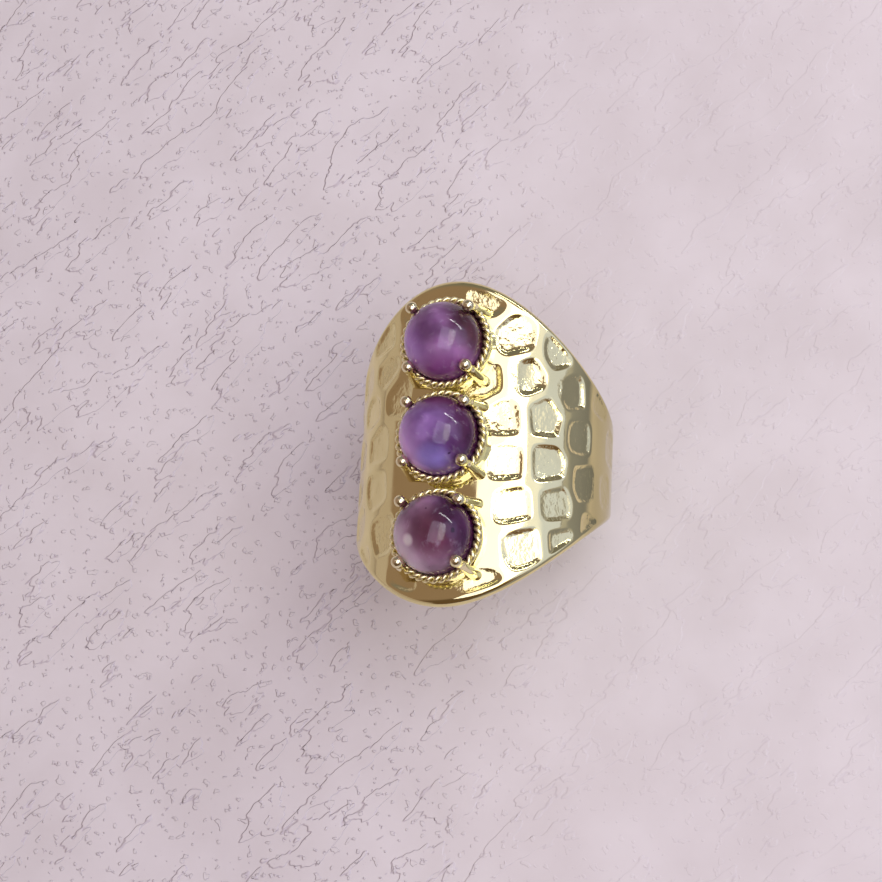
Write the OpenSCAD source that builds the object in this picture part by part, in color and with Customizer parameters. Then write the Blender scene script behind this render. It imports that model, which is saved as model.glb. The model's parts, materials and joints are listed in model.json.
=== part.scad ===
// Cocktail ring: a wide hammered band that tapers to a narrow shank, with three round
// cabochons in a row along the finger. Each stone sits in a seat cup, inside a collar of
// two twisted wires, and is held by four prongs with ball tips.
// Millimetres. Origin: centre of the finger hole. +Y runs along the finger, +X across the
// hand and +Z out through the middle stone.

/* [Finger hole] */
// Inside diameter, 17.3 is a US size 7
finger_d = 17.3; // [16.5:0.1:19]
// Thickness of the band's wall
wall_t = 1.4; // [1.3:0.05:1.6]

/* [Band] */
// Width along the finger at the face
face_w = 25.6; // [25:0.1:27]
// Width of the shank behind the finger
shank_w = 6.4; // [6:0.2:9]
// How fast the band narrows away from the face
taper_power = 2.6; // [2.2:0.1:3]
// Rounding of the band's long edges
edge_r = 0.45; // [0.3:0.05:0.5]

/* [Hammer marks] */
// Angle round the finger between neighbouring marks of a row
mark_step = 20.5; // [20:0.5:24]
// Depth of a mark
mark_depth = 0.2; // [0.1:0.02:0.24]
// Radius of the ball that shapes a mark
mark_ball_r = 4.8; // [4:0.1:5]

/* [Stones] */
// Diameter of each cabochon
stone_d = 6; // [5.6:0.1:6.1]
// Distance from the upper stone's centre to the middle one's
upper_gap = 7.4; // [7.4:0.05:7.6]
// Distance from the middle stone's centre to the lower one's
lower_gap = 7.65; // [7.4:0.05:7.7]
// Height of the straight side below the dome
girdle_h = 0.7; // [0.6:0.05:0.9]
// Height of the tapered foot under the straight side
foot_h = 0.34; // [0.2:0.02:0.4]

/* [Seat cups] */
// Outside diameter of each cup
cup_d = 7; // [6.9:0.05:7.1]
// Height of the cup's rim above the band, on the band's centre line
cup_h = 0.8; // [0.7:0.05:1]
// Depth of the seat that the stone stands in
seat_depth = 0.15; // [0.1:0.05:0.2]

/* [Twisted wire collars] */
// Radius of each of the two wires
wire_r = 0.165; // [0.15:0.005:0.17]
// Full turns of twist round one collar
collar_turns = 18; // [14:2:18]

/* [Prongs] */
// Radius of a prong's stem
prong_r = 0.38; // [0.3:0.02:0.38]
// Radius of a prong's ball tip
tip_r = 0.48; // [0.42:0.02:0.5]
// Height of the tip's centre above the start of the dome
tip_h = 1.25; // [1.15:0.05:1.35]
// How far the foot stands outside the tip
prong_lean = 0.6; // [0.5:0.05:0.7]

/* [Hidden] */

gold = [0.84, 0.75, 0.50];
amethyst = [0.45, 0.28, 0.58];
// Longer than the ring, for cuts that go right through it
far = 60;
// Clearance between a stone and the metal round it
slip = 0.005;

// Band: the long edges are cut in steps round the finger, each rounding in a few flats
bore_r = finger_d / 2;
band_r = bore_r + wall_t;
edge_steps = 60;
corner_steps = 2;
// How far the edge cutters reach past the wall's two faces
past_wall = 1;
// Rows of hammer marks on each side: place along the finger, angle of the row's first mark
right_rows = [
    [10.9, 15], [8.2, 29], [5.1, 15.5], [1.8, 25], [-1.5, 27], [-4.9, 31], [-8.1, 36], [-10.9, 19]
];
left_rows = [
    [10.8, 18], [8.6, 40], [5.8, 35], [3.2, 26.5], [0, 39], [-3.3, 40], [-6.8, 33], [-10.6, 18]
];
// The rows end here, and one row of marks goes on round the shank
rows_end = 112;
shank_marks = 6;
shank_step = 22;
mark_half = sqrt(2 * mark_ball_r * mark_depth);
// A mark may run this far under a cup
mark_under_cup = 0.35;
// Angle from a mark's centre to its narrow side, where the band's width is tested
mark_reach = 5;

// Stones and cups
stone_r = stone_d / 2;
middle_y = -0.05;
stone_y = [middle_y + upper_gap, middle_y, middle_y - lower_gap];
cup_r = cup_d / 2;
rim_z = band_r + cup_h;
seat_z = rim_z - seat_depth;
// Height at which the stone's straight side ends and its dome starts
dome_z = seat_z + foot_h + girdle_h;
// How much narrower the stone is at its foot
foot_taper = 0.2;

// Collars: the two wires wind round a circle that lies on the cup's rim
twist_r = wire_r + 2 * slip;
collar_r = stone_r + twist_r + wire_r + 2 * slip;
collar_z = rim_z + twist_r + wire_r;
wire_sides = 6;
rings_per_turn = 7;
// The wires stop on each side of a prong, this far from its stem
wire_stop = 0.07;
gap_at_prong = asin((prong_r + wire_stop) / collar_r);
// Small angle that gives the wire's direction
along_step = 0.1;

// Prongs: the tips rest on the domes, and the feet end inside the band's outer curve, which cuts them off
tip_out = sqrt(pow(stone_r + tip_r + 2 * slip, 2) - pow(tip_h, 2));
tip_z = dome_z + tip_h;
foot_out = tip_out + prong_lean;
foot_depth = 1;
foot_z = band_r - foot_depth;

// Half of the band's width at an angle a round the finger, 0 at the face
function half_width(a) =
    shank_w / 2 + (face_w - shank_w) / 2 * pow((1 + cos(a)) / 2, taper_power);

// A point at angle a round the finger, radius r from its axis and place y along it
function round_finger(a, r, y) = [r * sin(a), y, r * cos(a)];

// Faces of a closed tube made of rings of points, each ring with the same number of sides
function tube_faces(rings, sides, closed) = concat(
    [for (i = [0 : rings - (closed ? 1 : 2)], j = [0 : sides - 1], k = [0, 1])
        let (a = i * sides, b = ((i + 1) % rings) * sides, n = (j + 1) % sides)
        k == 0 ? [a + j, b + j, b + n] : [a + j, b + n, a + n]],
    closed ? [] : [
        [for (j = [0 : sides - 1]) j],
        [for (j = [sides - 1 : -1 : 0]) (rings - 1) * sides + j]
    ]
);

// The space outside one long edge of the band, with the edge's two corners rounded. Each
// rounding runs on past the wall by the length of its last flat.
module outside_edge() {
    bevel = [for (i = [0 : corner_steps]) let (c = i * 90 / corner_steps)
        [edge_r * (1 - sin(c)), edge_r * (cos(c) - 1)]];
    last = bevel[corner_steps];
    past = last + (last - bevel[corner_steps - 1]);
    flats = concat([for (i = [0 : corner_steps - 1]) bevel[i]], [past]);
    profile = concat(
        [for (i = [corner_steps : -1 : 0]) [bore_r + flats[i][0], flats[i][1]]],
        [for (f = flats) [band_r - f[0], f[1]]]
    );
    points = [for (i = [0 : edge_steps - 1]) let (a = -i * 360 / edge_steps) each concat(
        [for (p = profile) round_finger(a, p[0], half_width(a) + p[1])],
        [for (r = [band_r + past_wall, bore_r - past_wall]) round_finger(a, r, face_w)]
    )];
    polyhedron(points, tube_faces(edge_steps, len(profile) + 2, true));
}

module along_finger(r, length) {
    rotate([90, 0, 0]) cylinder(h = length, r = r, center = true, $fn = 180);
}

// True where a mark at angle a and place y keeps clear of the edges and the cups
function mark_fits(a, y) =
    abs(y) + mark_half + edge_r < half_width(a + mark_reach) &&
    min([for (s = stone_y) norm([band_r * sin(a), y - s])]) >
        cup_r + mark_half - mark_under_cup;

module mark(a, y) {
    translate(round_finger(a, band_r - mark_depth + mark_ball_r, y))
        sphere(r = mark_ball_r, $fn = 64);
}

module hammered_band() {
    color(gold) difference() {
        along_finger(band_r, face_w);
        along_finger(bore_r, far);
        outside_edge();
        mirror([0, 1, 0]) outside_edge();
        for (row = right_rows, a = [row[1] : mark_step : rows_end])
            if (mark_fits(a, row[0])) mark(a, row[0]);
        for (row = left_rows, a = [row[1] : mark_step : rows_end])
            if (mark_fits(a, row[0])) mark(-a, row[0]);
        for (i = [0 : shank_marks - 1]) mark(180 + (i - (shank_marks - 1) / 2) * shank_step, 0);
    }
}

// One wire prong, standing at angle a round the stone at place y
module prong(y, a) {
    lean = atan(prong_lean / (tip_z - foot_z));
    color(gold) translate([0, y, 0]) difference() {
        rotate([0, 0, a]) union() {
            translate([tip_out, 0, tip_z]) sphere(r = tip_r, $fn = 48);
            translate([foot_out, 0, foot_z]) rotate([0, -lean, 0])
                cylinder(h = (tip_z - foot_z) / cos(lean), r = prong_r, $fn = 48);
        }
        along_finger(band_r, far);
    }
}

// A round cup that stands on the band, notched for the four prongs soldered to it
module seat_cup(y) {
    color(gold) difference() {
        translate([0, y, foot_z]) cylinder(h = rim_z - foot_z, r = cup_r, $fn = 96);
        translate([0, y, seat_z]) cylinder(h = far, r = stone_r + slip, $fn = 96);
        along_finger(band_r, far);
        for (a = [45 : 90 : 315]) prong(y, a);
    }
}

// Centre of a collar wire at angle a round the stone, wound from a starting phase
function wire_at(a, phase) = let (t = collar_turns * a + phase, r = collar_r + twist_r * cos(t))
    [r * cos(a), r * sin(a), collar_z + twist_r * sin(t)];

function unit(v) = v / norm(v);

// One ring of points round the wire at angle a, square to the wire
function wire_ring(a, phase) =
    let (c = wire_at(a, phase),
        along = unit(wire_at(a + along_step, phase) - wire_at(a - along_step, phase)),
        rough = c - [collar_r * cos(a), collar_r * sin(a), collar_z],
        out = unit(rough - along * (rough * along)),
        side = cross(along, out))
    [for (j = [0 : wire_sides - 1])
        let (s = j * 360 / wire_sides) c + wire_r * (cos(s) * out + sin(s) * side)];

// One wire of a collar, in four lengths that stop at the prongs
module collar_wire(y, phase) {
    span = 90 - 2 * gap_at_prong;
    rings = ceil(rings_per_turn * collar_turns * span / 360);
    color(gold) translate([0, y, 0]) for (q = [-45 : 90 : 225]) {
        points = [for (i = [0 : rings], p = wire_ring(q + gap_at_prong + span * i / rings, phase)) p];
        polyhedron(points, tube_faces(rings + 1, wire_sides, false));
    }
}

// A round high-domed stone with a flat foot
module cabochon(y) {
    color(amethyst) translate([0, y, dome_z]) rotate_extrude($fn = 96) union() {
        intersection() {
            circle(r = stone_r, $fn = 128);
            square([stone_r, stone_r]);
        }
        polygon([
            [0, 0], [0, -girdle_h - foot_h], [stone_r - foot_taper, -girdle_h - foot_h],
            [stone_r, -girdle_h], [stone_r, 0]
        ]);
    }
}

hammered_band();
seat_cup(stone_y[0]);  // upper_seat_cup
seat_cup(stone_y[1]);  // middle_seat_cup
seat_cup(stone_y[2]);  // lower_seat_cup
collar_wire(stone_y[0], 0);  // upper_collar_wire_a
collar_wire(stone_y[0], 180);  // upper_collar_wire_b
collar_wire(stone_y[1], 0);  // middle_collar_wire_a
collar_wire(stone_y[1], 180);  // middle_collar_wire_b
collar_wire(stone_y[2], 0);  // lower_collar_wire_a
collar_wire(stone_y[2], 180);  // lower_collar_wire_b
prong(stone_y[0], 45);  // upper_prong_ne
prong(stone_y[0], 135);  // upper_prong_nw
prong(stone_y[0], 225);  // upper_prong_sw
prong(stone_y[0], 315);  // upper_prong_se
prong(stone_y[1], 45);  // middle_prong_ne
prong(stone_y[1], 135);  // middle_prong_nw
prong(stone_y[1], 225);  // middle_prong_sw
prong(stone_y[1], 315);  // middle_prong_se
prong(stone_y[2], 45);  // lower_prong_ne
prong(stone_y[2], 135);  // lower_prong_nw
prong(stone_y[2], 225);  // lower_prong_sw
prong(stone_y[2], 315);  // lower_prong_se
cabochon(stone_y[0]);  // upper_cabochon
cabochon(stone_y[1]);  // middle_cabochon
cabochon(stone_y[2]);  // lower_cabochon
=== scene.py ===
"""Looks of the cocktail ring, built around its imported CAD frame.

Lengths in the functions are millimetres, and mesh() turns them into metres. Angles are degrees, and those
round the finger are 0 at the face."""

import json
import math

import bpy
import numpy as np
from mathutils import Matrix, Vector


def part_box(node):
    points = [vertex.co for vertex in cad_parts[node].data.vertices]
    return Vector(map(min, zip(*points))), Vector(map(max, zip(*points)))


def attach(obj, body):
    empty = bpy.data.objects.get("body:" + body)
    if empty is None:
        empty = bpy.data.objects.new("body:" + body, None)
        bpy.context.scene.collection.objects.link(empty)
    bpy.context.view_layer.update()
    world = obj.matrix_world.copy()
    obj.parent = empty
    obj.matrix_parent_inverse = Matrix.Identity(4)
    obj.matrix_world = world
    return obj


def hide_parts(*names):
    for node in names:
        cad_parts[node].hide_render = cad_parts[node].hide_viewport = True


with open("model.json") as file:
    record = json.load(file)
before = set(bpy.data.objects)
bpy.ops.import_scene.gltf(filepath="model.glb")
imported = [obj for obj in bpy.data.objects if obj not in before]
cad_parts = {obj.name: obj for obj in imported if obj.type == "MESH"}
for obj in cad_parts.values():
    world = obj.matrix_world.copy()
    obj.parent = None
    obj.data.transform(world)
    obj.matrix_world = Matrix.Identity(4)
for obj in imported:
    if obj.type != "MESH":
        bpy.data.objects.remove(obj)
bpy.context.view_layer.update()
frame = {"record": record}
MM = 0.001
SEED = 7


def node_box(node):
    low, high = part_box(node)
    return np.array(low) / MM, np.array(high) / MM


# ---------------------------------------------------------------- sizes taken from the frame
BAND_LOW, BAND_HIGH = node_box("hammered_band")
BAND_R = BAND_HIGH[0]
FACE_HALF = BAND_HIGH[1]
BORE_R = frame["record"]["mounts"][0]["dims"]["r_mm"]
PLACES = ("upper", "middle", "lower")
CORNERS = {"ne": 45, "nw": 135, "sw": 225, "se": 315}
STONE_BOX = {p: node_box(p + "_cabochon") for p in PLACES}
STONE_Y = {p: (STONE_BOX[p][0][1] + STONE_BOX[p][1][1]) / 2 for p in PLACES}
STONE_R = STONE_BOX["middle"][1][0]
STONE_FOOT = STONE_BOX["middle"][0][2]
DOME_Z = STONE_BOX["middle"][1][2] - STONE_R
CUP_R = node_box("middle_seat_cup")[1][0]
RIM_Z = node_box("middle_seat_cup")[1][2]

# ---------------------------------------------------------------- sizes that part.scad also gives
SHANK_HALF = 3.2
TAPER_POWER = 2.6
# Twice part.scad's clearance
SLIP = 0.01
SEAT_DEPTH = 0.15
GIRDLE_H = 0.7
FOOT_TAPER = 0.2
WIRE_R = 0.165
TWIST_R = 0.175
COLLAR_R = STONE_R + TWIST_R + WIRE_R + SLIP
COLLAR_Z = RIM_Z + TWIST_R + WIRE_R
COLLAR_TURNS = 18
TIP_R = 0.48
TIP_H = 1.25
PRONG_R = 0.38
PRONG_LEAN = 0.6

# ---------------------------------------------------------------- finer sizes, only for the looks
# Rounding of the band's long edges
EDGE_R = 0.62
# Angle from the face at which the band's mesh gets coarser
FINE_UNTIL = 112
# How far the cups and prongs go on below the band's top line, inside the metal
CUP_SINK = 1.1
PRONG_SINK = 0.9
# Rounding of a cup's rim
CUP_EDGE = 0.12
# Rings of the mesh in each turn of a twisted wire
RINGS_PER_TURN = 18
# Radius of a prong's foot, and about how far below the tip's centre its stem ends
PRONG_FOOT = 0.46
STEM_END = 0.5
# Height of the stone's straight side that is left below its dome
STONE_SIDE = 0.35


# ---------------------------------------------------------------- meshes
def mesh(name, points, faces, smooth=True):
    """A new object from points in millimetres."""
    data = bpy.data.meshes.new(name)
    data.from_pydata([tuple(p) for p in np.asarray(points) * MM], [], [tuple(f) for f in faces])
    data.validate()
    if smooth:
        data.polygons.foreach_set("use_smooth", [True] * len(data.polygons))
    data.update()
    thing = bpy.data.objects.new(name, data)
    bpy.context.scene.collection.objects.link(thing)
    return thing


def grid_faces(rows, columns, wrap_rows):
    """Quads of a grid of points, numbered row by row. Each row is a closed ring."""
    row = np.arange(rows if wrap_rows else rows - 1)
    i, j = np.meshgrid(row, np.arange(columns), indexing="ij")
    a, b = i * columns + j, i * columns + (j + 1) % columns
    c, d = (i + 1) % rows * columns + (j + 1) % columns, (i + 1) % rows * columns + j
    return np.stack([a, b, c, d], -1).reshape(-1, 4)


def loop_tube(centres, radius, sides):
    """Points and faces of a tube round a closed loop of centres."""
    along = np.roll(centres, -1, 0) - np.roll(centres, 1, 0)
    along /= np.linalg.norm(along, axis=1)[:, None]
    up = np.tile([0.0, 0.0, 1.0], (len(centres), 1))
    side = np.cross(along, up)
    side /= np.linalg.norm(side, axis=1)[:, None]
    up = np.cross(side, along)
    turn = np.radians(np.arange(sides) * 360 / sides)
    ring = np.cos(turn)[None, :, None] * side[:, None] + np.sin(turn)[None, :, None] * up[:, None]
    points = centres[:, None] + ring * radius
    return points.reshape(-1, 3), grid_faces(len(centres), sides, True)


def smooth_step(x):
    """0 to 1 with a soft start and end."""
    x = np.clip(x, 0, 1)
    return x * x * (3 - 2 * x)


def soft_min(a, b, width):
    """The smaller of two values, blended where they differ by less than a width."""
    h = np.clip(0.5 + 0.5 * (b - a) / width, 0, 1)
    return b + (a - b) * h - width * h * (1 - h)


# ---------------------------------------------------------------- hammered band
def half_width(angle):
    """Half of the band's width at an angle, as part.scad has it."""
    lift = (1 + np.cos(np.radians(angle))) / 2
    return SHANK_HALF + (FACE_HALF - SHANK_HALF) * lift**TAPER_POWER


# Hammer marks: angle round the finger, place along it, size round the finger and along it, then, for some,
# how many degrees the floor leans away from the face and how many times deeper than usual the mark is
RIGHT_MARKS = [
    (15, 11.1, 3.5, 2.9, 3), (29.5, 8.4, 3.8, 3.7), (49.7, 7.6, 2.9, 3.4),
    (15.5, 4.7, 3.3, 3.3, 3), (35.3, 5.3, 3.6, 3.5, 7, 1.6), (57.7, 4.6, 3.2, 3.4, 6), (79, 4.6, 2.8, 2.7),
    (24.7, 1.8, 3.2, 3.3), (44.5, 2.3, 3.7, 4.0), (63.7, 1.3, 2.9, 3.4, 1), (94, 1.5, 3.0, 3.2),
    (26.8, -1.6, 3.3, 3.5), (46.6, -1.4, 3.6, 3.8), (68.3, -2.3, 3.0, 4.4, -5),
    (30.6, -4.9, 3.8, 3.4), (51.6, -4.4, 3.4, 3.4), (36, -8.0, 3.7, 3.8), (56, -7.4, 3.0, 3.0, -6),
    (17.5, -11.2, 4.0, 2.9, 4), (87, -2.2, 2.8, 3.2), (73, -5.6, 2.6, 2.4),
]
LEFT_MARKS = [
    (18, 10.8, 3.2, 2.8), (39, 8.8, 3.2, 3.0), (35, 6.1, 3.2, 3.2), (26.3, 3.9, 3.0, 4.0),
    (47, 3.2, 3.0, 3.0), (39.5, 0.3, 3.3, 3.6), (39.8, -3.2, 3.3, 3.5), (33.3, -7.0, 3.3, 3.6),
    (18, -10.6, 3.2, 2.8), (56, 5.8, 3.0, 3.0), (68, 2.8, 2.9, 2.9), (60, 0.0, 3.0, 3.2),
    (57, -5.4, 3.0, 3.2), (62, -2.8, 2.9, 2.6), (80, 0.2, 2.9, 3.0), (82, -3.2, 2.8, 2.8),
    (76, 5.2, 2.7, 2.4), (89, 3.4, 2.6, 2.4), (48, -8.6, 2.6, 2.7), (100, -0.2, 2.9, 3.0),
]
BACK_MARKS = [(angle, 0.0, 3.0, 2.9) for angle in range(118, 251, 19)]
# Lean and depth of the marks that give none
USUAL = (0, 1)
# Width of the ridge between two marks, of a mark's wall, and of the plain strip along the band's edges
RIDGE = 0.4
WALL = 0.5
EDGE_MARGIN = 0.55
# Depth of a mark near the face, the share of it that is lost round the shank, the angle where that loss
# begins and how many degrees later it is full
DEPTH = 0.2
FADE, FADE_FROM, FADE_OVER = 0.45, 60, 25
# Least depth of a floor
SHALLOWEST = 0.03
# Power of the rounded square that is a mark's own outline
SQUARE = 3.6
# Stands for a distance past every mark
FAR = 9.0
# The band mesh's attribute that holds how much of each point is a mark's floor
FLOOR_SHARE = "hammered"


def all_marks():
    marks = RIGHT_MARKS + [(-m[0], *m[1:]) for m in LEFT_MARKS] + BACK_MARKS
    always_given = 4
    return np.array([m + USUAL[len(m) - always_given :] for m in marks], float)


def hammer_depth(angle, y):
    """How far the marks sink the surface at each point, and how much of each point is a mark's floor."""
    marks = all_marks()
    rng = np.random.default_rng(SEED)
    tilt = np.radians(rng.uniform(-12, 12, len(marks)))
    faded = smooth_step((np.abs(marks[:, 0]) - FADE_FROM) / FADE_OVER)
    depth = DEPTH * rng.uniform(0.85, 1.15, len(marks)) * (1 - FADE * faded)
    bowl = rng.uniform((0.8, 0.1), (1.4, 0.5), (len(marks), 2)) * marks[:, 5:6] ** 2
    depth *= marks[:, 5]
    lean = rng.uniform(-0.03, 0.03, (len(marks), 2))
    lean[:, 0] += np.radians(marks[:, 4])
    away = (angle[:, None] - marks[None, :, 0] + 180) % 360 - 180
    across = np.radians(away) * BAND_R
    along = y[:, None] - marks[None, :, 1]
    distance2 = across**2 + along**2
    near = distance2.argmin(1)
    rows = np.arange(len(angle))
    centre = np.stack([np.radians(marks[:, 0]) * BAND_R, marks[:, 1]], 1)
    # Distance inside the lines midway to the other marks
    inside = np.full(len(angle), FAR)
    for k in range(len(marks)):
        gap_x = (marks[k, 0] - marks[near, 0] + 180) % 360 - 180
        gap = np.hypot(np.radians(gap_x) * BAND_R, marks[k, 1] - marks[near, 1])
        line = (distance2[:, k] - distance2[rows, near]) / (2 * np.maximum(gap, 0.1))
        line[near == k] = FAR
        inside = soft_min(inside, line - RIDGE / 2, 0.35)
    # Distance inside the mark's own rounded square
    c, s = np.cos(tilt[near]), np.sin(tilt[near])
    u, v = across[rows, near], along[rows, near]
    u, v = u * c + v * s, v * c - u * s
    size = marks[near, 2:4] / 2
    square = (np.abs(u / size[:, 0]) ** SQUARE + np.abs(v / size[:, 1]) ** SQUARE) ** (1 / SQUARE)
    inside = soft_min(inside, (1 - square) * size.min(1), 0.3)
    inside = soft_min(inside, half_width(angle) - np.abs(y) - EDGE_MARGIN, 0.4)
    wall = smooth_step(inside / WALL)
    # Each floor is a shallow bowl, about flat round the finger
    across, along = across[rows, near], along[rows, near]
    floor = depth[near] - bowl[near, 0] * across**2 / (2 * BAND_R)
    floor -= bowl[near, 1] * along**2 / (2 * BAND_R)
    floor += lean[near, 0] * across + lean[near, 1] * along
    return wall * np.maximum(floor, SHALLOWEST), wall


def edge_profile():
    """Half of the band's wall section, from the middle of the outside round the edge to the middle of the
    bore. Each entry is a radius, the share of the half width and an offset from the edge."""
    outside = [(BAND_R, share, 0.0) for share in np.linspace(0, 1, 84, endpoint=False)]
    turn = np.radians(np.linspace(0, 90, 9))
    outer = [(BAND_R - EDGE_R * (1 - math.cos(t)), 1, EDGE_R * math.sin(t)) for t in turn]
    inner = [(BORE_R + EDGE_R * (1 - math.sin(t)), 1, EDGE_R * math.cos(t)) for t in turn]
    bore = [(BORE_R, share, 0.0) for share in np.linspace(1, 0, 10)[1:]]
    return np.array(outside + outer + inner + bore)


def hammered_band():
    face = np.linspace(-FINE_UNTIL, FINE_UNTIL, 340, endpoint=False)
    back = np.linspace(FINE_UNTIL, 360 - FINE_UNTIL, 90, endpoint=False)
    angles = np.concatenate([face, back])
    half = edge_profile()
    section = np.concatenate([half, half[-2:0:-1] * [1, -1, -1]])
    angle = np.repeat(angles, len(section))
    radius = np.tile(section[:, 0], len(angles))
    flat_half = half_width(angle) - EDGE_R
    y = flat_half * np.tile(section[:, 1], len(angles)) + np.tile(section[:, 2], len(angles))
    outer = radius > BAND_R - EDGE_R / 2
    sink, wall = hammer_depth(angle, y)
    radius = radius - np.where(outer, sink, 0)
    theta = np.radians(angle)
    points = np.stack([radius * np.sin(theta), y, radius * np.cos(theta)], 1)
    band = mesh("band_shell", points, grid_faces(len(angles), len(section), True))
    floor = band.data.attributes.new(FLOOR_SHARE, "FLOAT", "POINT")
    floor.data.foreach_set("value", np.where(outer, wall, 0).astype(np.float32))
    return band


# ---------------------------------------------------------------- settings
def turned(name, profile, y, steps=96):
    """A shape turned about a stone's axis from a list of (radius, height) points, closed on the axis."""
    turn = np.radians(np.arange(steps) * 360 / steps)
    profile = np.array(profile, float)
    inner = profile[1:-1]
    points = [(r * math.cos(t), y + r * math.sin(t), z) for t in turn for r, z in inner]
    n = len(inner)
    faces = [(i * n + j, (i + 1) % steps * n + j, (i + 1) % steps * n + j + 1, i * n + j + 1)
             for i in range(steps) for j in range(n - 1)]
    points += [(0, y, profile[0][1]), (0, y, profile[-1][1])]
    first, last = len(points) - 2, len(points) - 1
    faces += [(first, (i + 1) % steps * n, i * n) for i in range(steps)]
    faces += [(last, i * n + n - 1, (i + 1) % steps * n + n - 1) for i in range(steps)]
    return mesh(name, points, faces)


def rounded(corner, start, end, radius, steps=5):
    """Points of a rounded corner between two lines that meet at it."""
    corner, start, end = (np.array(v, float) for v in (corner, start, end))
    a = (start - corner) / np.linalg.norm(start - corner)
    b = (end - corner) / np.linalg.norm(end - corner)
    return [tuple(corner + radius * ((1 - t) ** 2 * a + t**2 * b)) for t in np.linspace(0, 1, steps)]


def seat_cup(place):
    foot = BAND_R - CUP_SINK
    seat = RIM_Z - SEAT_DEPTH
    profile = [(0, foot), (CUP_R, foot)]
    profile += rounded((CUP_R, RIM_Z), (CUP_R, foot), (0, RIM_Z), CUP_EDGE)
    profile += [(STONE_R + SLIP, RIM_Z), (STONE_R + SLIP, seat), (0, seat)]
    return turned(place + "_cup", profile, STONE_Y[place])


def collar_wire(place, letter, phase):
    """One of a collar's two twisted wires. Its turns are a little uneven."""
    rng = np.random.default_rng(SEED + PLACES.index(place) * 2 + (phase > 0))
    steps = COLLAR_TURNS * RINGS_PER_TURN
    a = np.arange(steps) * 360 / steps
    waves = (3, 5, 8, 13)
    wander = sum(rng.uniform(-1, 1) * np.sin(np.radians(a * k) + rng.uniform(0, 6)) for k in waves)
    t = np.radians(COLLAR_TURNS * a + phase + 9 * wander)
    r = COLLAR_R + TWIST_R * np.cos(t)
    x, y = r * np.cos(np.radians(a)), STONE_Y[place] + r * np.sin(np.radians(a))
    centres = np.stack([x, y, COLLAR_Z + TWIST_R * np.sin(t)], 1)
    points, faces = loop_tube(centres, WIRE_R, 10)
    return mesh(f"{place}_wire_{letter}", points, faces)


def prong(place, corner):
    """A wire with a ball tip: a round section that follows a leaning line."""
    rng = np.random.default_rng(SEED + 31 * PLACES.index(place) + CORNERS[corner])
    tip_z = DOME_Z + TIP_H
    foot_z = BAND_R - PRONG_SINK
    tip_out = math.sqrt((STONE_R + TIP_R + SLIP) ** 2 - TIP_H**2)
    height = tip_z - foot_z
    sides, rings = 24, 26
    heights = foot_z + (height - STEM_END) * np.arange(rings) / rings
    radii = PRONG_FOOT + (PRONG_R - PRONG_FOOT) * smooth_step(np.linspace(0, 1.4, rings))
    ball = np.radians(np.linspace(-46, 90, 16))
    heights = np.concatenate([heights, tip_z + TIP_R * np.sin(ball)])
    radii = np.concatenate([radii, TIP_R * np.cos(ball)])
    # The stem widens smoothly into the ball, and the ball closes to almost a point
    radii[rings - 3 : rings + 1] = np.linspace(PRONG_R, TIP_R * math.cos(ball[0]), 4)
    radii[-1] = 0.001
    out = tip_out + PRONG_LEAN * np.clip((tip_z - heights) / height, 0, 1) ** 0.9
    turn = math.radians(CORNERS[corner] + rng.uniform(-1.5, 1.5))
    swing = np.radians(np.arange(sides) * 360 / sides)
    points = []
    for h, r, o in zip(heights, radii, out):
        for s in swing:
            x, y = o + r * math.cos(s), r * math.sin(s)
            points.append((
                x * math.cos(turn) - y * math.sin(turn),
                STONE_Y[place] + x * math.sin(turn) + y * math.cos(turn),
                h,
            ))
    faces = [tuple(f) for f in grid_faces(len(heights), sides, False)]
    faces.append(tuple(range(sides)))
    last = (len(heights) - 1) * sides
    faces.append(tuple(reversed(range(last, last + sides))))
    return mesh(f"{place}_prong_{corner}_wire", points, faces)


def cabochon(place):
    """A high-domed round stone on its tapered foot."""
    arc = np.radians(np.linspace(0, 90, 40))
    profile = [(0, STONE_FOOT), (STONE_R - FOOT_TAPER, STONE_FOOT)]
    profile += [(STONE_R, DOME_Z - GIRDLE_H), (STONE_R, DOME_Z - STONE_SIDE)]
    profile += [(STONE_R * math.cos(t), DOME_Z + STONE_R * math.sin(t)) for t in arc[:-1]]
    profile += [(0, DOME_Z + STONE_R)]
    return turned(place + "_stone", profile, STONE_Y[place], 128)


# ---------------------------------------------------------------- materials
def new_material(name):
    material = bpy.data.materials.new(name)
    material.use_nodes = True
    nodes = material.node_tree.nodes
    nodes.clear()
    out = nodes.new("ShaderNodeOutputMaterial")
    shader = nodes.new("ShaderNodeBsdfPrincipled")
    material.node_tree.links.new(shader.outputs["BSDF"], out.inputs["Surface"])
    return material, nodes, material.node_tree.links, shader


def object_place(nodes):
    """Coordinates in the object's own space, which is the frame, in metres."""
    return nodes.new("ShaderNodeTexCoord").outputs["Object"]


def part_of(nodes, links, vector, axis):
    """One coordinate of a vector."""
    parts = nodes.new("ShaderNodeSeparateXYZ")
    links.new(vector, parts.inputs["Vector"])
    return parts.outputs[axis]


def noise(nodes, links, coordinates, scale, detail=2.0, roughness=0.5):
    """Noise with about scale cells in each unit of its coordinates."""
    texture = nodes.new("ShaderNodeTexNoise")
    texture.inputs["Scale"].default_value = scale
    texture.inputs["Detail"].default_value = detail
    texture.inputs["Roughness"].default_value = roughness
    links.new(coordinates, texture.inputs["Vector"])
    return texture.outputs["Fac"]


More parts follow.
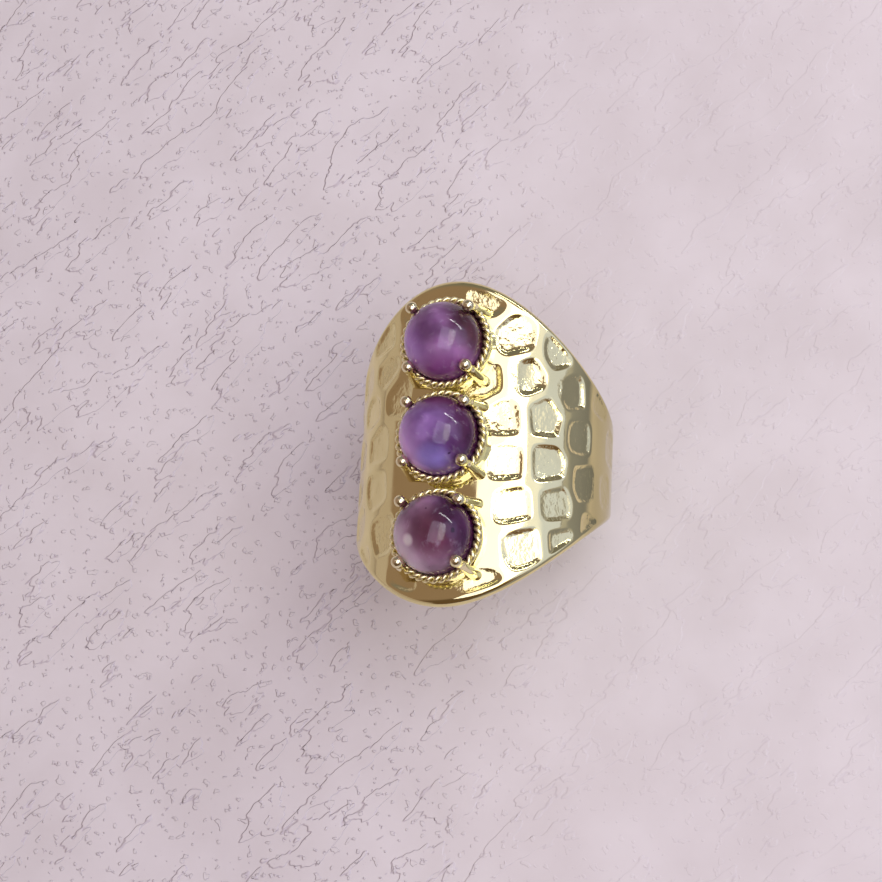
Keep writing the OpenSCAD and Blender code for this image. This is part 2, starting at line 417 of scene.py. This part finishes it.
def relief(nodes, links, height, distance, strength, normal=None):
    """Bumps of a height map, distance millimetres high, over a normal; strength is a number or a socket."""
    bump = nodes.new("ShaderNodeBump")
    bump.inputs["Distance"].default_value = distance * MM
    links.new(height, bump.inputs["Height"])
    if isinstance(strength, float):
        bump.inputs["Strength"].default_value = strength
    else:
        links.new(strength, bump.inputs["Strength"])
    if normal is not None:
        links.new(normal, bump.inputs["Normal"])
    return bump.outputs["Normal"]


def remap(nodes, links, value, start, end, low=0.0, high=1.0):
    """A value that eases from low to high between start and end."""
    ease = nodes.new("ShaderNodeMapRange")
    ease.interpolation_type = "SMOOTHSTEP"
    ease.inputs["From Min"].default_value, ease.inputs["From Max"].default_value = start, end
    ease.inputs["To Min"].default_value, ease.inputs["To Max"].default_value = low, high
    links.new(value, ease.inputs["Value"])
    return ease.outputs["Result"]


def product(nodes, links, first, second):
    """One value times another."""
    times = nodes.new("ShaderNodeMath")
    times.operation = "MULTIPLY"
    links.new(first, times.inputs[0])
    links.new(second, times.inputs[1])
    return times.outputs["Value"]


def ramp(nodes, links, value, start, first, end, last):
    """A colour that goes from first to last as a value goes from start to end."""
    tone = nodes.new("ShaderNodeValToRGB")
    for stop, position, color in zip(tone.color_ramp.elements, (start, end), (first, last)):
        stop.position, stop.color = position, (*color, 1)
    links.new(value, tone.inputs["Fac"])
    return tone.outputs["Color"]


def mixed(nodes, links, color, tint, share):
    """A colour, fixed or from a socket, with a share of a tint in it. The share is a socket."""
    mix = nodes.new("ShaderNodeMix")
    mix.data_type = "RGBA"
    if isinstance(color, tuple):
        mix.inputs["A"].default_value = (*color, 1)
    else:
        links.new(color, mix.inputs["A"])
    mix.inputs["B"].default_value = (*tint, 1)
    links.new(share, mix.inputs["Factor"])
    return mix.outputs["Result"]


def stretched(nodes, links, coordinates, scale, turn=(0, 0, 0)):
    """Coordinates scaled, then turned by degrees."""
    mapping = nodes.new("ShaderNodeMapping")
    mapping.vector_type = "TEXTURE"
    mapping.inputs["Rotation"].default_value = [math.radians(v) for v in turn]
    mapping.inputs["Scale"].default_value = scale
    links.new(coordinates, mapping.inputs["Vector"])
    return mapping.outputs["Vector"]


def gold(name, hammered, dull, bright, satin=0.0):
    """Polished gold plate that drifts between two tones. Satin is roughness added to the polish."""
    material, nodes, links, shader = new_material(name)
    place = object_place(nodes)
    shader.inputs["Metallic"].default_value = 1.0
    color = ramp(nodes, links, noise(nodes, links, place, 0.25 / MM), 0.3, dull, 0.7, bright)
    matt = noise(nodes, links, place, 0.8 / MM, 4)
    links.new(remap(nodes, links, matt, 0.3, 0.7, 0.05 + satin, 0.12 + satin), shader.inputs["Roughness"])
    streaks = noise(nodes, links, stretched(nodes, links, place, (1, 2.2, 1)), 5.5 / MM, 3)
    if hammered:
        # The plate's colour is darker round the shank, toward the bottom of the ring
        low_darkening = remap(nodes, links, part_of(nodes, links, place, "Z"), 2 * MM, 5 * MM, 1.0, 0.0)
        color = mixed(nodes, links, color, tuple(0.7 * v for v in dull), low_darkening)
        # The mesh says how much of each point is a mark's floor
        floor = nodes.new("ShaderNodeAttribute")
        floor.attribute_name = FLOOR_SHARE
        floor = floor.outputs["Fac"]
        # Grain and swells in the floors of the marks, ragged walls, smooth ridges
        grain = remap(nodes, links, floor, 0.5, 1.0, 0.04, 0.9)
        normal = relief(nodes, links, streaks, 0.019, grain)
        swell = remap(nodes, links, floor, 0.3, 0.9)
        normal = relief(nodes, links, noise(nodes, links, place, 1.4 / MM, 2), 0.06, swell, normal)
        foot = remap(nodes, links, floor, 0.15, 0.5)
        brow = remap(nodes, links, floor, 0.6, 1.0, 1.0, 0.0)
        wall = product(nodes, links, foot, brow)
        normal = relief(nodes, links, noise(nodes, links, place, 3.0 / MM, 3), 0.045, wall, normal)
    else:
        normal = relief(nodes, links, streaks, 0.014, 0.25)
    links.new(color, shader.inputs["Base Color"])
    links.new(normal, shader.inputs["Normal"])
    return material


def toward_share(nodes, links, way, toward, start, full):
    """How far way points toward a direction, from 0 where that is start to 1 where it is full."""
    dot = nodes.new("ShaderNodeVectorMath")
    dot.operation = "DOT_PRODUCT"
    dot.inputs[1].default_value = Vector(toward).normalized()
    links.new(way, dot.inputs[0])
    return remap(nodes, links, dot.outputs["Value"], start, full)


def amethyst(place, deep, pale, turn, zones):
    """Cloudy violet quartz, with painted light in colour zones. Each zone is a direction from the dome's
    centre, the distances along it (in stone radii) where the zone begins and is full, and its colour: a
    pale painted glow, dark painted shade and bright painted highlights."""
    material, nodes, links, shader = new_material(place + "_amethyst")
    # Coordinates in stone radii from the dome's centre, and the same turned for each stone
    centre = nodes.new("ShaderNodeMapping")
    centre.inputs["Location"].default_value = (0, -STONE_Y[place] / STONE_R, -DOME_Z / STONE_R)
    centre.inputs["Scale"].default_value = [1 / (STONE_R * MM)] * 3
    links.new(object_place(nodes), centre.inputs["Vector"])
    way = centre.outputs["Vector"]
    spin = nodes.new("ShaderNodeMapping")
    spin.inputs["Rotation"].default_value = (0.4, 0.3, math.radians(turn))
    links.new(way, spin.inputs["Vector"])
    turned_way = spin.outputs["Vector"]

    shader.inputs["IOR"].default_value = 1.545
    shader.inputs["Roughness"].default_value = 0.07
    shader.inputs["Specular IOR Level"].default_value = 0.4
    shader.inputs["Subsurface Weight"].default_value = 0.6
    shader.inputs["Subsurface Radius"].default_value = (1.0, 0.4, 0.9)
    shader.inputs["Subsurface Scale"].default_value = 0.9 * MM

    cloud = noise(nodes, links, turned_way, 0.8, 3)
    color = ramp(nodes, links, cloud, 0.38, deep, 0.66, pale)
    # Zones of painted light: a pale painted glow, dark painted shade and bright painted highlights
    for toward, start, full, tint in zones:
        color = mixed(nodes, links, color, tint, toward_share(nodes, links, way, toward, start, full))
    # Angular growth zones, each a little lighter or darker
    growth = nodes.new("ShaderNodeTexVoronoi")
    growth.feature = "SMOOTH_F1"
    growth.inputs["Scale"].default_value = 1.7
    growth.inputs["Smoothness"].default_value = 0.3
    links.new(turned_way, growth.inputs["Vector"])
    shade = nodes.new("ShaderNodeSeparateColor")
    links.new(growth.outputs["Color"], shade.inputs["Color"])
    zoned = nodes.new("ShaderNodeVectorMath")
    zoned.operation = "SCALE"
    links.new(color, zoned.inputs[0])
    links.new(remap(nodes, links, shade.outputs["Red"], 0.0, 1.0, 0.87, 1.08), zoned.inputs["Scale"])
    # Pale veils
    veil = noise(nodes, links, stretched(nodes, links, turned_way, (1, 0.45, 1), (0, 0, 35)), 2.6, 5, 0.6)
    veil = remap(nodes, links, veil, 0.54, 0.78, 0.0, 0.32)
    color = mixed(nodes, links, zoned.outputs["Vector"], (0.86, 0.76, 0.95), veil)
    # Dark specks and threads inside
    specks = noise(nodes, links, turned_way, 4.5, 2, 0.4)
    flawed = nodes.new("ShaderNodeMix")
    flawed.data_type = "RGBA"
    flawed.blend_type = "MULTIPLY"
    flawed.inputs["Factor"].default_value = 0.8
    links.new(color, flawed.inputs["A"])
    links.new(ramp(nodes, links, specks, 0.23, (0.25, 0.18, 0.25), 0.28, (1, 1, 1)), flawed.inputs["B"])
    links.new(flawed.outputs["Result"], shader.inputs["Base Color"])
    # The stone is clearest where it is deep in colour, and milky in its first zone, where the glow is
    # painted
    clear = remap(nodes, links, cloud, 0.35, 0.65, 0.6, 0.25)
    milky = toward_share(nodes, links, way, *zones[0][:3])
    links.new(mixed(nodes, links, clear, (0.08,) * 3, milky), shader.inputs["Transmission Weight"])
    return material


def plaster():
    """Trowelled plaster: thin raised layers whose edges run mostly one way, with small crumbs."""
    material, nodes, links, shader = new_material("pale_plaster")
    place = object_place(nodes)
    shader.inputs["Roughness"].default_value = 0.85
    drift = noise(nodes, links, place, 0.12 / MM, 4)
    color = ramp(nodes, links, drift, 0.35, (0.82, 0.78, 0.77), 0.65, (0.88, 0.845, 0.84))
    layers = noise(nodes, links, stretched(nodes, links, place, (2.6, 1, 1), (0, 0, 42)), 0.42 / MM, 3)
    crumbs = noise(nodes, links, place, 1.3 / MM, 2)
    # The trowel left one side of the slab smoother
    rough = remap(nodes, links, part_of(nodes, links, place, "X"), -14 * MM, 8 * MM, 1.0, 0.3)
    normal = None
    # Each height map steps up at a level, over a thin band either side of it, and is deep millimetres high
    for height, level, thin, deep in ((layers, 0.57, 0.010, 0.09), (crumbs, 0.64, 0.02, 0.08)):
        step = remap(nodes, links, height, level - thin, level + thin)
        normal = relief(nodes, links, step, deep, rough, normal)
        # The step is drawn as a fine darker line too
        line = nodes.new("ShaderNodeMath")
        line.operation = "COMPARE"
        line.inputs[1].default_value, line.inputs[2].default_value = level, thin * 0.6
        links.new(height, line.inputs[0])
        line = product(nodes, links, line.outputs["Value"], rough)
        color = mixed(nodes, links, color, (0.75, 0.70, 0.73), line)
    links.new(color, shader.inputs["Base Color"])
    swell = noise(nodes, links, place, 0.12 / MM, 2)
    links.new(relief(nodes, links, swell, 0.6, 0.4, normal), shader.inputs["Normal"])
    return material


# ---------------------------------------------------------------- the ring
def dress(thing, material, slot, *nodes):
    """Gives a piece its material and puts it in the place of CAD nodes."""
    thing.data.materials.clear()
    thing.data.materials.append(material)
    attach(thing, "root")
    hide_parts(*nodes)


BAND_GOLD = gold("hammered_gold", True, (0.79, 0.70, 0.34), (0.84, 0.76, 0.38))
FITTING_GOLD = gold("fitting_gold", False, (0.84, 0.76, 0.46), (0.90, 0.83, 0.52))
WIRE_GOLD = gold("wire_gold", False, (0.92, 0.84, 0.46), (0.96, 0.89, 0.53), 0.2)
# For each stone: its deep and pale colour, the turn of its clouds in degrees, and its colour zones of
# painted light: first a pale painted glow on the side away from the lamps, then dark painted shade, and
# last, for the middle and lower stones, a bright painted highlight
STONE_TONES_AND_PAINTED_LIGHT = {
    "upper": ((0.28, 0.10, 0.31), (0.50, 0.27, 0.54), 0, [
        ((-0.8, -0.4, 0.2), 0.3, 1.0, (0.62, 0.36, 0.86)),
        ((0.9, 0.4, 0.1), 0.35, 0.9, (0.13, 0.04, 0.06)),
        ((0.1, -0.9, 0.0), 0.4, 0.9, (0.40, 0.13, 0.40)),
    ]),
    "middle": ((0.32, 0.13, 0.46), (0.58, 0.36, 0.80), 70, [
        ((-0.8, -0.3, 0.2), 0.3, 1.0, (0.80, 0.50, 1.0)),
        ((0.1, 0.8, 0.1), 0.4, 0.9, (0.22, 0.06, 0.15)),
        ((0.9, 0.2, 0.1), 0.3, 0.9, (0.10, 0.015, 0.08)),
        ((0.1, -0.75, 0.65), 0.86, 1.0, (0.52, 0.40, 1.0)),
    ]),
    "lower": ((0.34, 0.14, 0.28), (0.60, 0.36, 0.52), 140, [
        ((-0.75, -0.5, 0.2), 0.35, 1.0, (0.86, 0.72, 0.84)),
        ((0.35, -0.1, 0.9), 0.6, 1.0, (0.20, 0.06, 0.11)),
        ((0.9, 0.3, 0.1), 0.3, 0.9, (0.09, 0.015, 0.08)),
        ((-0.36, -0.32, 0.88), 0.98, 1.0, (0.98, 0.86, 0.88)),
    ]),
}
dress(hammered_band(), BAND_GOLD, "gold_plate", "hammered_band")
for place in PLACES:
    dress(seat_cup(place), FITTING_GOLD, "gold_plate", place + "_seat_cup")
    for letter, phase in (("a", 0), ("b", 180)):
        wire = collar_wire(place, letter, phase)
        dress(wire, WIRE_GOLD, "gold_plate", f"{place}_collar_wire_{letter}")
    for corner in CORNERS:
        dress(prong(place, corner), FITTING_GOLD, "gold_plate", f"{place}_prong_{corner}")
    dress(cabochon(place), amethyst(place, *STONE_TONES_AND_PAINTED_LIGHT[place]), "amethyst", place + "_cabochon")


# ---------------------------------------------------------------- floor, light and camera
FLOOR_Z = BAND_LOW[2]
FLOOR_REACH = 700
# Painted shade: a dark card that only reflections see. Where it begins along X, how high it lies,
# and its tone there, which is about the floor's
CARD_NEAR = 25
CARD_LIFT = 0.05
CARD_EDGE_TONE = (0.85, 0.81, 0.80)
# Where each of its other tones begins and is full along X, and the tone
CARD_TONES = [(25, 32, (0.27, 0.30, 0.38)), (80, 140, (0.42, 0.44, 0.50))]


def stage_sheet(name, near, z, material):
    """A level sheet that reaches from near along X, and to the floor's end on its other three sides."""
    far = FLOOR_REACH
    points = [(near, -far, z), (far, -far, z), (far, far, z), (near, far, z)]
    sheet = mesh(name, points, [(0, 1, 2, 3)], smooth=False)
    sheet.data.materials.append(material)
    return sheet


def painted_shade_tones():
    """Matt dark tones of painted shade that follow each other along X."""
    material, nodes, links, shader = new_material("painted_shade_card")
    shader.inputs["Roughness"].default_value = 0.85
    along = part_of(nodes, links, object_place(nodes), "X")
    color = CARD_EDGE_TONE
    for start, full, tint in CARD_TONES:
        color = mixed(nodes, links, color, tint, remap(nodes, links, along, start * MM, full * MM))
    links.new(color, shader.inputs["Base Color"])
    return material


def painted_shade_card():
    """Painted shade: a dark card lying on the floor beside the ring, for the ring's flank to reflect. Only
    reflections see it, so the floor is plain and pale in every view."""
    card = stage_sheet("painted_shade_card", CARD_NEAR, FLOOR_Z + CARD_LIFT, painted_shade_tones())
    card.visible_camera = card.visible_diffuse = card.visible_transmission = card.visible_shadow = False


def area_light(name, toward, distance, size, radiance, color, along=None):
    """A rectangular light that faces the ring from a direction. Its first side lies along another
    direction, or level if none is given."""
    light = bpy.data.lights.new(name, "AREA")
    light.shape = "RECTANGLE"
    light.size, light.size_y = size[0] * MM, size[1] * MM
    light.energy = radiance * math.pi * light.size * light.size_y
    light.color = color
    lamp = bpy.data.objects.new(name, light)
    back = Vector(toward).normalized()
    side = Vector(along) if along else Vector((0, 0, 1)).cross(back)
    side = (side - back * side.dot(back)).normalized()
    turn = Matrix((side, back.cross(side), back)).transposed().to_4x4()
    lamp.matrix_world = Matrix.Translation(back * distance * MM) @ turn
    bpy.context.scene.collection.objects.link(lamp)


# The lights: direction, distance and size in millimetres, radiance, colour and, for one, the direction of
# its first side
LIGHTS = {
    "window": ((0.47, -0.12, 0.875), 500, (600, 390), 1.7, (1.0, 0.97, 1.22)),
    "sun_side": ((0.68, -0.06, 0.73), 480, (400, 160), 2.2, (1.0, 0.96, 0.75)),
    "strip": ((0.66, 0.62, 0.40), 450, (330, 22), 14, (1.0, 1.0, 1.0), (0.525, -0.445, -0.266)),
}
# The room round the ring is one colour, with soft patches of others: the direction of each, the cosines
# where it begins and is full, the sine of the elevation where it ends above, and its colour
ROOM = (0.31, 0.213, 0.187)
# More than any sine, for patches that don't end above, and half the width over which the others end
NO_TOP = 2
TOP_BLUR = 0.03
PATCHES = [
    ((0.1, 1.0, 0.0), 0.3, 0.85, NO_TOP, (0.21, 0.20, 0.22)),
    ((0.15, -1.0, 0.35), 0.45, 0.8, NO_TOP, (0.13, 0.08, 0.05)),
    ((1.0, 0.15, 0.28), 0.86, 0.95, NO_TOP, (0.74, 0.80, 1.22)),
    ((0.82, 0.2, 0.54), 0.955, 0.99, NO_TOP, (1.1, 1.12, 1.5)),
    ((-1.0, 0.1, 0.0), 0.3, 0.4, 0.26, (0.52, 0.43, 0.46)),
]


def surroundings():
    world = bpy.data.worlds.new("studio")
    bpy.context.scene.world = world
    world.use_nodes = True
    nodes, links = world.node_tree.nodes, world.node_tree.links
    way = nodes.new("ShaderNodeTexCoord").outputs["Generated"]
    height = part_of(nodes, links, way, "Z")
    color = ROOM
    for toward, start, full, top, tint in PATCHES:
        share = toward_share(nodes, links, way, toward, start, full)
        below = remap(nodes, links, height, top - TOP_BLUR, top + TOP_BLUR, 1.0, 0.0)
        color = mixed(nodes, links, color, tint, product(nodes, links, share, below))
    links.new(color, nodes["Background"].inputs["Color"])


# Where the camera stands, in degrees and millimetres. Azimuth 0 is along -Y and turns toward +X.
CAMERA_AZIMUTH = 53.7
CAMERA_ELEVATION = 67.4
CAMERA_ROLL = -53.2
CAMERA_DISTANCE = 190.8
CAMERA_LENS = 97.3
CAMERA_SENSOR = 36
# How far the ring's origin lies right of and above the middle of the picture, at the ring's distance
CAMERA_AIM = (3.62, -2.33)


def camera():
    data = bpy.data.cameras.new("camera")
    data.lens, data.sensor_width = CAMERA_LENS, CAMERA_SENSOR
    data.clip_start, data.clip_end = 0.01, 10
    eye = bpy.data.objects.new("camera", data)
    a, e, roll = (math.radians(v) for v in (CAMERA_AZIMUTH, CAMERA_ELEVATION, CAMERA_ROLL))
    back = Vector((math.sin(a) * math.cos(e), -math.cos(a) * math.cos(e), math.sin(e)))
    right = Vector((math.cos(a), math.sin(a), 0))
    up = back.cross(right)
    right, up = right * math.cos(roll) + up * math.sin(roll), up * math.cos(roll) - right * math.sin(roll)
    place = back * CAMERA_DISTANCE
    target = -right * CAMERA_AIM[0] - up * CAMERA_AIM[1]
    ahead = (target - place).normalized()
    side = ahead.cross(up).normalized()
    top = side.cross(ahead)
    eye.matrix_world = Matrix.Translation(place * MM) @ Matrix((side, top, -ahead)).transposed().to_4x4()
    bpy.context.scene.collection.objects.link(eye)
    bpy.context.scene.camera = eye


stage_sheet("studio_floor", -FLOOR_REACH, FLOOR_Z, plaster())
# Painted shade that only reflections see
painted_shade_card()
surroundings()
for name, light in LIGHTS.items():
    area_light(name, *light)
camera()
bpy.context.scene.view_settings.view_transform = "Standard"
